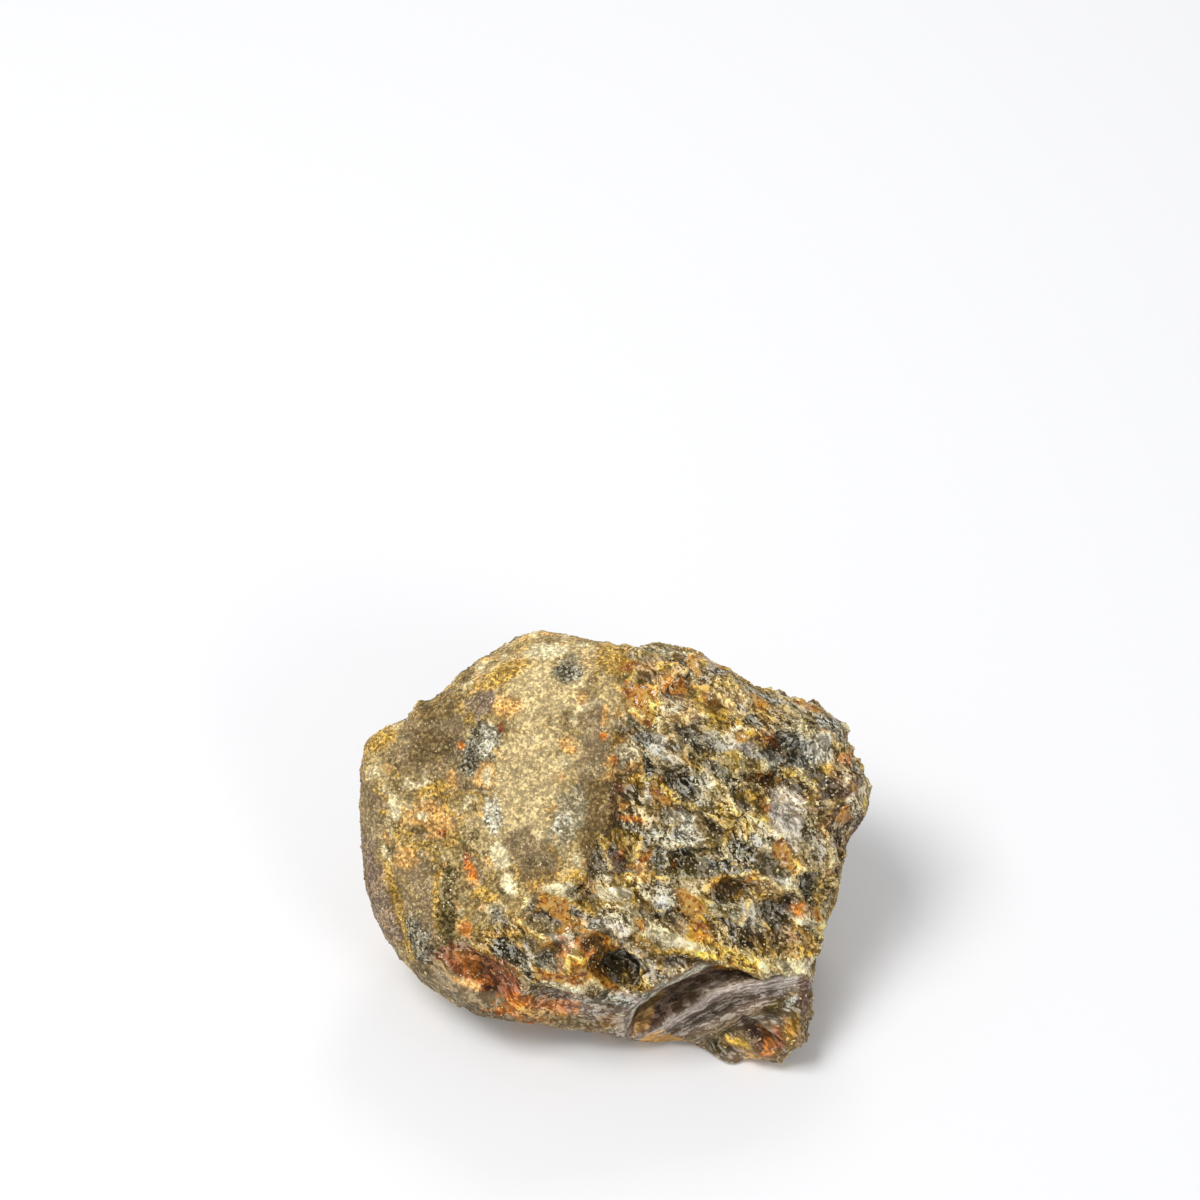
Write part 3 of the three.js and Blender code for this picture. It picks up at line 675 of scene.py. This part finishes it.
def store(mesh, name, values):
    """Keeps a number, a place or a colour for each point of a mesh, for its materials to read."""
    kind, field = STORED_AS[values.shape[1] if values.ndim == 2 else 1]
    mesh.attributes.new(name, kind, "POINT").data.foreach_set(field, values.astype(np.float32).ravel())


store(chunk_mesh, "tint", np.column_stack([colour, everywhere]))
store(chunk_mesh, "grain", grain)
store(chunk_mesh, "gloss", gloss)
# sparkle: how strongly the painted glints show
store(chunk_mesh, "sparkle", (0.4 + 0.6 * ease(0.1, 0.8, gloss)) * (1 - 0.85 * polished))
store(chunk_mesh, "painted_sheen", painted_sheen * np.maximum(drawn_out, 0.4))
store(chunk_mesh, "drawn_out", drawn_out)
store(chunk_mesh, "streak_place", streak_place * MM)


def new_group(name, inputs, outputs):
    """A shader node group, with its input and output nodes."""
    group = bpy.data.node_groups.new(name, "ShaderNodeTree")
    for socket, kind in inputs:
        group.interface.new_socket(socket, in_out="INPUT", socket_type=kind)
    for socket, kind in outputs:
        group.interface.new_socket(socket, in_out="OUTPUT", socket_type=kind)
    return group, group.nodes.new("NodeGroupInput"), group.nodes.new("NodeGroupOutput")


def math_of(tree, operation, *values):
    return add_node(tree, "ShaderNodeMath", dict(enumerate(values)), operation=operation).outputs[0]


def vector_of(tree, operation, *values):
    return add_node(tree, "ShaderNodeVectorMath", dict(enumerate(values)), operation=operation).outputs[0]


def scaled(tree, vector, amount):
    """A place, a direction or a colour, times a number."""
    return add_node(tree, "ShaderNodeVectorMath", {0: vector, "Scale": amount}, operation="SCALE").outputs[0]


def sum_of(tree, *terms):
    """The sum of value x weight over the terms."""
    total = None
    for value, weight in terms:
        part = math_of(tree, "MULTIPLY", value, weight)
        total = part if total is None else math_of(tree, "ADD", total, part)
    return total


def colour_ramp(tree, tone, stops):
    """A colour that passes through the stops as tone rises. A stop is a tone and its colour."""
    made = add_node(tree, "ShaderNodeValToRGB", {"Fac": tone})
    ramp = made.color_ramp.elements
    for end, (place, shade) in ((ramp[0], stops[0]), (ramp[1], stops[-1])):
        end.position = place
        end.color = (*shade, 1)
    for place, shade in stops[1:-1]:
        ramp.new(place).color = (*shade, 1)
    return made.outputs["Color"]


def mapped(tree, value, low, high, to_low, to_high):
    """A value carried from one range to another, and held to it."""
    limits = {"From Min": low, "From Max": high, "To Min": to_low, "To Max": to_high}
    return add_node(tree, "ShaderNodeMapRange", {"Value": value, **limits}).outputs["Result"]


def grain_group():
    """Grain that resin and crust share. It gives a tone from dark to light, the way that each tiny facet
    leans, and which flecks take a painted glint. Where the resin is drawn out, its grains lie in streaks."""
    group, given, result = new_group(
        "resin_grain",
        [("Place", "NodeSocketVector"), ("Streak Place", "NodeSocketVector"),
         ("Fineness", "NodeSocketFloat"), ("Drawn Out", "NodeSocketFloat")],
        [("Tone", "NodeSocketFloat"), ("Lean", "NodeSocketVector"), ("Glint", "NodeSocketFloat")],
    )
    fineness = given.outputs["Fineness"]
    drawn_out = given.outputs["Drawn Out"]
    even_place = scaled(group, given.outputs["Place"], fineness)
    streaked_place = scaled(group, given.outputs["Streak Place"], fineness)
    either_place = {"Factor": drawn_out, "A": scaled(group, even_place, 1.35), "B": streaked_place}
    place = add_node(group, "ShaderNodeMix", either_place, data_type="VECTOR").outputs["Result"]

    fibre_inputs = {"Vector": place, "Scale": 0.8, "Detail": 2.5, "Roughness": 0.62}
    fibres = add_node(group, "ShaderNodeTexNoise", fibre_inputs).outputs["Fac"]
    hair_inputs = {"Vector": place, "Scale": 0.42, "W": 4.0, "Distortion": 0.9}
    hairs = add_node(group, "ShaderNodeTexNoise", hair_inputs, noise_dimensions="4D").outputs["Fac"]
    off_line = math_of(group, "ABSOLUTE", math_of(group, "SUBTRACT", hairs, 0.5))
    hair = math_of(group, "MULTIPLY", mapped(group, off_line, 0.02, 0.10, 1.0, -0.35), drawn_out)
    grit = {"Vector": place, "Scale": 1.05}
    specks = add_node(group, "ShaderNodeTexVoronoi", grit).outputs["Color"]
    edges = add_node(group, "ShaderNodeTexVoronoi", grit, feature="DISTANCE_TO_EDGE").outputs["Distance"]
    gap = math_of(group, "MULTIPLY", mapped(group, edges, 0.02, 0.16, 1.0, 0.0), drawn_out)
    blot_inputs = {"Vector": even_place, "Scale": 0.22, "Detail": 3.0}
    blots = add_node(group, "ShaderNodeTexNoise", blot_inputs).outputs["Fac"]
    speck = add_node(group, "ShaderNodeSeparateColor", {"Color": specks})
    flecks = add_node(group, "ShaderNodeTexVoronoi", {"Vector": even_place, "Scale": 1.6})
    fleck = add_node(group, "ShaderNodeSeparateColor", {"Color": flecks.outputs["Color"]})
    in_fleck = mapped(group, flecks.outputs["Distance"], 0.38, 0.50, 1.0, 0.0)
    dark_fleck = math_of(group, "MULTIPLY", mapped(group, fleck.outputs[1], 0.74, 0.80, 0.0, 1.0), in_fleck)
    tone = sum_of(
        group, (fibres, 1.3), (speck.outputs[0], 0.5), (hair, 0.22), (gap, -0.14),
        (blots, 0.6), (dark_fleck, -0.30),
    )
    group.links.new(math_of(group, "SUBTRACT", tone, 0.64), result.inputs["Tone"])
    group.links.new(vector_of(group, "SUBTRACT", specks, (0.5, 0.5, 0.5)), result.inputs["Lean"])
    chosen = mapped(group, fleck.outputs[0], 0.80, 0.86, 0.0, 1.0)
    in_cluster = mapped(group, blots, 0.46, 0.60, 0.15, 1.0)
    glint = math_of(group, "MULTIPLY", math_of(group, "MULTIPLY", chosen, in_cluster), in_fleck)
    group.links.new(glint, result.inputs["Glint"])
    return group


grain_nodes = grain_group()


def stored(tree, name, output="Fac"):
    """What store() keeps under that name."""
    node = add_node(tree, "ShaderNodeAttribute", attribute_name=name, attribute_type="GEOMETRY")
    return node.outputs[output]


def add_grain(tree, fineness):
    object_place = add_node(tree, "ShaderNodeTexCoord").outputs["Object"]
    given = {"Place": object_place, "Fineness": fineness, "Drawn Out": 0.0}
    return add_node(tree, "ShaderNodeGroup", given, node_tree=grain_nodes)


def mixed_colour(tree, share, one, other, **settings):
    inputs = {"Factor": share, "A": one, "B": other}
    return add_node(tree, "ShaderNodeMix", inputs, data_type="RGBA", **settings).outputs["Result"]


def add_bump(tree, shader, height, strength, distance, inputs=None):
    given = {"Height": height, "Strength": strength, "Distance": distance, **(inputs or {})}
    tree.links.new(add_node(tree, "ShaderNodeBump", given).outputs["Normal"], shader.inputs["Normal"])


def crusted_resin():
    """Sandy crust and dark chipped resin: a tint from the chunk, broken up by grain, dull to glossy, with
    painted sheen and glints.
    """
    material, tree, shader = new_material("crusted_resin")
    gloss_strength = stored(tree, "gloss")
    made = add_grain(tree, 2300.0)
    tree.links.new(stored(tree, "drawn_out"), made.inputs["Drawn Out"])
    tree.links.new(stored(tree, "streak_place", "Vector"), made.inputs["Streak Place"])
    tone = made.outputs["Tone"]
    dark_to_light = colour_ramp(
        tree, tone,
        [(0.18, (0.045, 0.027, 0.010)), (0.36, (0.110, 0.080, 0.038)), (0.50, (0.24, 0.205, 0.135)),
         (0.64, (0.45, 0.405, 0.290)), (0.84, (1.0, 0.93, 0.74))],
    )
    grained = mixed_colour(tree, stored(tree, "grain"), (1, 1, 1, 1), scaled(tree, dark_to_light, 2.42))
    tint = stored(tree, "tint", "Color")
    coloured = mixed_colour(tree, 1.0, tint, grained, blend_type="MULTIPLY", clamp_result=True)
    # painted sheen: light tones are mixed towards silver where the shade is silvery, standing in for
    # reflections
    sheen_share = math_of(tree, "MULTIPLY", mapped(tree, tone, 0.52, 0.80, 0.0, 0.88), stored(tree, "painted_sheen"))
    with_painted_sheen = mixed_colour(tree, sheen_share, coloured, (0.90, 0.89, 0.80, 1))
    # painted glints: chosen flecks are mixed towards pale cream, partly bright grains and partly painted
    # highlight
    pale_flecks_and_painted_glint = math_of(tree, "MULTIPLY", made.outputs["Glint"], stored(tree, "sparkle"))
    with_flecks_and_painted_glint = mixed_colour(tree, pale_flecks_and_painted_glint, with_painted_sheen, (0.97, 0.87, 0.62, 1))
    tree.links.new(with_flecks_and_painted_glint, shader.inputs["Base Color"])

    tree.links.new(mapped(tree, gloss_strength, 0, 1, 0.8, 0.16), shader.inputs["Roughness"])
    shader.inputs["IOR"].default_value = 1.54
    shader.inputs["Specular IOR Level"].default_value = 0.2
    shader.inputs["Specular Tint"].default_value = (1.0, 0.86, 0.60, 1)

    lean = scaled(tree, made.outputs["Lean"], math_of(tree, "MULTIPLY", gloss_strength, 0.9))
    flat = add_node(tree, "ShaderNodeNewGeometry").outputs["Normal"]
    facet = vector_of(tree, "NORMALIZE", vector_of(tree, "ADD", flat, lean))
    add_bump(tree, shader, tone, 0.7, 0.12 * MM, {"Normal": facet})
    return material


def clear_resin():
    """Windows where the crust is gone: hazy see-through honey resin, which takes up blue and green light."""
    material, tree, shader = new_material("clear_resin")
    shader.inputs["Transmission Weight"].default_value = 0.6
    shader.inputs["IOR"].default_value = 1.54
    tone = add_grain(tree, 1500.0).outputs["Tone"]
    amber = colour_ramp(
        tree, tone, [(0.28, (0.30, 0.085, 0.006)), (0.52, (0.95, 0.44, 0.05)), (0.78, (1.0, 0.72, 0.22))]
    )
    tree.links.new(amber, shader.inputs["Base Color"])
    tree.links.new(mapped(tree, tone, 0, 1, 0.02, 0.12), shader.inputs["Roughness"])
    add_bump(tree, shader, tone, 0.35, 0.1 * MM)
    thinning = {"Color": (1.0, 0.66, 0.08, 1), "Density": 420.0}
    taken_up = add_node(tree, "ShaderNodeVolumeAbsorption", thinning)
    tree.links.new(taken_up.outputs["Volume"], tree.nodes["Material Output"].inputs["Volume"])
    return material


chunk_mesh.materials.clear()
chunk_mesh.materials.append(crusted_resin())
chunk_mesh.materials.append(clear_resin())
face_corners = np.empty(len(chunk_mesh.loops), np.int32)
chunk_mesh.loops.foreach_get("vertex_index", face_corners)
face_clear = clear[face_corners.reshape(-1, 4)].mean(1)
is_window = face_clear > 0.5
chunk_mesh.polygons.foreach_set("material_index", is_window.astype(np.int32))
chunk_mesh.polygons.foreach_set("use_smooth", np.ones(len(chunk_mesh.polygons), bool))
chunk_mesh.update()
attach(chunk, "root")
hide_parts("raw_amber")

# What is sealed in under each window: the cloudy, cracked resin that begins a little way in. It follows the
# window and dips away from its rim, so that light goes in, is scattered and comes back honey-coloured.
CLOUD_THICKNESS = 0.2 * MM
window_corners = face_corners.reshape(-1, 4)[is_window]
near_window = np.zeros(point_count)
near_window[window_corners.ravel()] = 1
depth_in = near_window.copy()
for _ in range(6):
    depth_in = neighbour_mean(depth_in).ravel() * near_window
floor_points = points - normals * (0.16 + 0.55 * depth_in + 0.1 * pebbles)[:, None]
floor_form = bmesh.new()
kept = {}
for corner in np.unique(window_corners):
    kept[corner] = floor_form.verts.new(floor_points[corner] * MM)
for corners in window_corners:
    floor_form.faces.new([kept[corner] for corner in corners])
floor_form.normal_update()
lower = bmesh.ops.extrude_face_region(floor_form, geom=floor_form.faces[:], use_keep_orig=True)["geom"]
for corner in lower:
    if isinstance(corner, bmesh.types.BMVert):
        corner.co -= corner.normal * CLOUD_THICKNESS
bmesh.ops.recalc_face_normals(floor_form, faces=floor_form.faces)
floor_mesh = bpy.data.meshes.new("sealed_cloud")
floor_form.to_mesh(floor_mesh)
floor_form.free()
sealed = bpy.data.objects.new("sealed_cloud", floor_mesh)
scene.collection.objects.link(sealed)


def cloudy_resin():
    material, tree, shader = new_material("cloudy_resin")
    tone = add_grain(tree, 1900.0).outputs["Tone"]
    crackle = [(0.25, (0.60, 0.27, 0.03)), (0.5, (1.0, 0.78, 0.30)), (0.80, (1.0, 0.97, 0.80))]
    tree.links.new(colour_ramp(tree, tone, crackle), shader.inputs["Base Color"])
    shader.inputs["Roughness"].default_value = 0.4
    return material


floor_mesh.materials.append(cloudy_resin())
floor_mesh.polygons.foreach_set("use_smooth", np.ones(len(floor_mesh.polygons), bool))
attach(sealed, "root")

# Loose grains and flakes. Sand grains sit in the crust, and flat flakes of resin lie on the chipped faces.
# Each is a tiny closed eight-sided crystal, half sunk in the chunk, in a shade near the one that it lies on.
crystal_form = bmesh.new()
bmesh.ops.create_uvsphere(crystal_form, u_segments=4, v_segments=2, radius=1.0)
crystal_form.verts.index_update()
crystal_points = np.array([corner.co for corner in crystal_form.verts])
crystal_faces = np.array([[corner.index for corner in face.verts] for face in crystal_form.faces])
crystal_form.free()

quads = face_corners.reshape(-1, 4)
face_middles = points[quads].mean(1)
face_normals = np.empty(len(quads) * 3, np.float32)
chunk_mesh.polygon_normals.foreach_get("vector", face_normals)
face_normals = face_normals.reshape(-1, 3).astype(float)
face_areas = np.empty(len(quads), np.float32)
chunk_mesh.polygons.foreach_get("area", face_areas)
lying_clear = (face_middles[:, 2] > 0.8) & ~is_window


def set_in(name, count, share, sizes, brightness, cream, seed):
    """Sets crystals into the chunk's faces. Sizes are half the length, width and height, in millimetres."""
    dice = np.random.default_rng(seed)
    chance = face_areas * lying_clear * share[quads].mean(1)
    chosen = dice.choice(len(quads), count, p=chance / chance.sum())
    mix = dice.dirichlet([1, 1, 1, 1], count)
    middles = np.einsum("ij,ijk->ik", mix, points[quads[chosen]])
    tilt = face_normals[chosen] + dice.normal(0, 0.22, (count, 3))
    upright = tilt / np.linalg.norm(tilt, axis=1)[:, None]
    chip_way = np.array(ACROSS) * math.cos(CHIP_TURN) + np.array(UP_FACE) * math.sin(CHIP_TURN)
    lengthwise = chip_way + dice.normal(0, 0.9, (count, 3))
    lengthwise -= upright * np.einsum("ij,ij->i", lengthwise, upright)[:, None]
    lengthwise /= np.linalg.norm(lengthwise, axis=1)[:, None]
    sideways = np.cross(upright, lengthwise)
    grown = np.clip(dice.lognormal(0, 0.35, (count, 1)), 0.4, 1.7) * np.array(sizes)
    corners = middles[:, None, :] + (
        crystal_points[None, :, :1] * grown[:, None, :1] * lengthwise[:, None, :]
        + crystal_points[None, :, 1:2] * grown[:, None, 1:2] * sideways[:, None, :]
        + crystal_points[None, :, 2:] * grown[:, None, 2:] * upright[:, None, :]
    )
    corner_count = len(crystal_points)
    faces = (crystal_faces[None] + np.arange(count)[:, None, None] * corner_count).reshape(-1, 3)
    mesh = bpy.data.meshes.new(name)
    mesh.from_pydata((corners.reshape(-1, 3) * MM).tolist(), [], faces.tolist())
    base = colour[quads[chosen]].mean(1)
    shaded = base * dice.uniform(*brightness, (count, 1))
    paler = dice.uniform(0, 1, (count, 1)) ** 3 * cream
    shaded += (np.array([0.95, 0.80, 0.46]) - shaded) * paler
    store(mesh, "tint", np.column_stack([np.clip(shaded, 0, 1), np.ones(count)]).repeat(corner_count, 0))
    store(mesh, "gloss", gloss[quads[chosen]].mean(1).repeat(corner_count))
    store(mesh, "grain", np.full(count * corner_count, 0.35))
    store(mesh, "sparkle", np.full(count * corner_count, 0.5))
    store(mesh, "painted_sheen", np.zeros(count * corner_count))
    store(mesh, "drawn_out", np.zeros(count * corner_count))
    mesh.materials.append(chunk_mesh.materials[0])
    made = bpy.data.objects.new(name, mesh)
    scene.collection.objects.link(made)
    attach(made, "root")


set_in("crust_grains", 14000, crust, (0.19, 0.15, 0.08), (0.7, 1.35), 0.4, 21)
flaky = bare * (1 - 0.8 * quiet) * (1 - 0.6 * calm)
set_in("resin_flakes", 12000, flaky, (0.24, 0.12, 0.05), (0.3, 1.9), 0.9, 22)
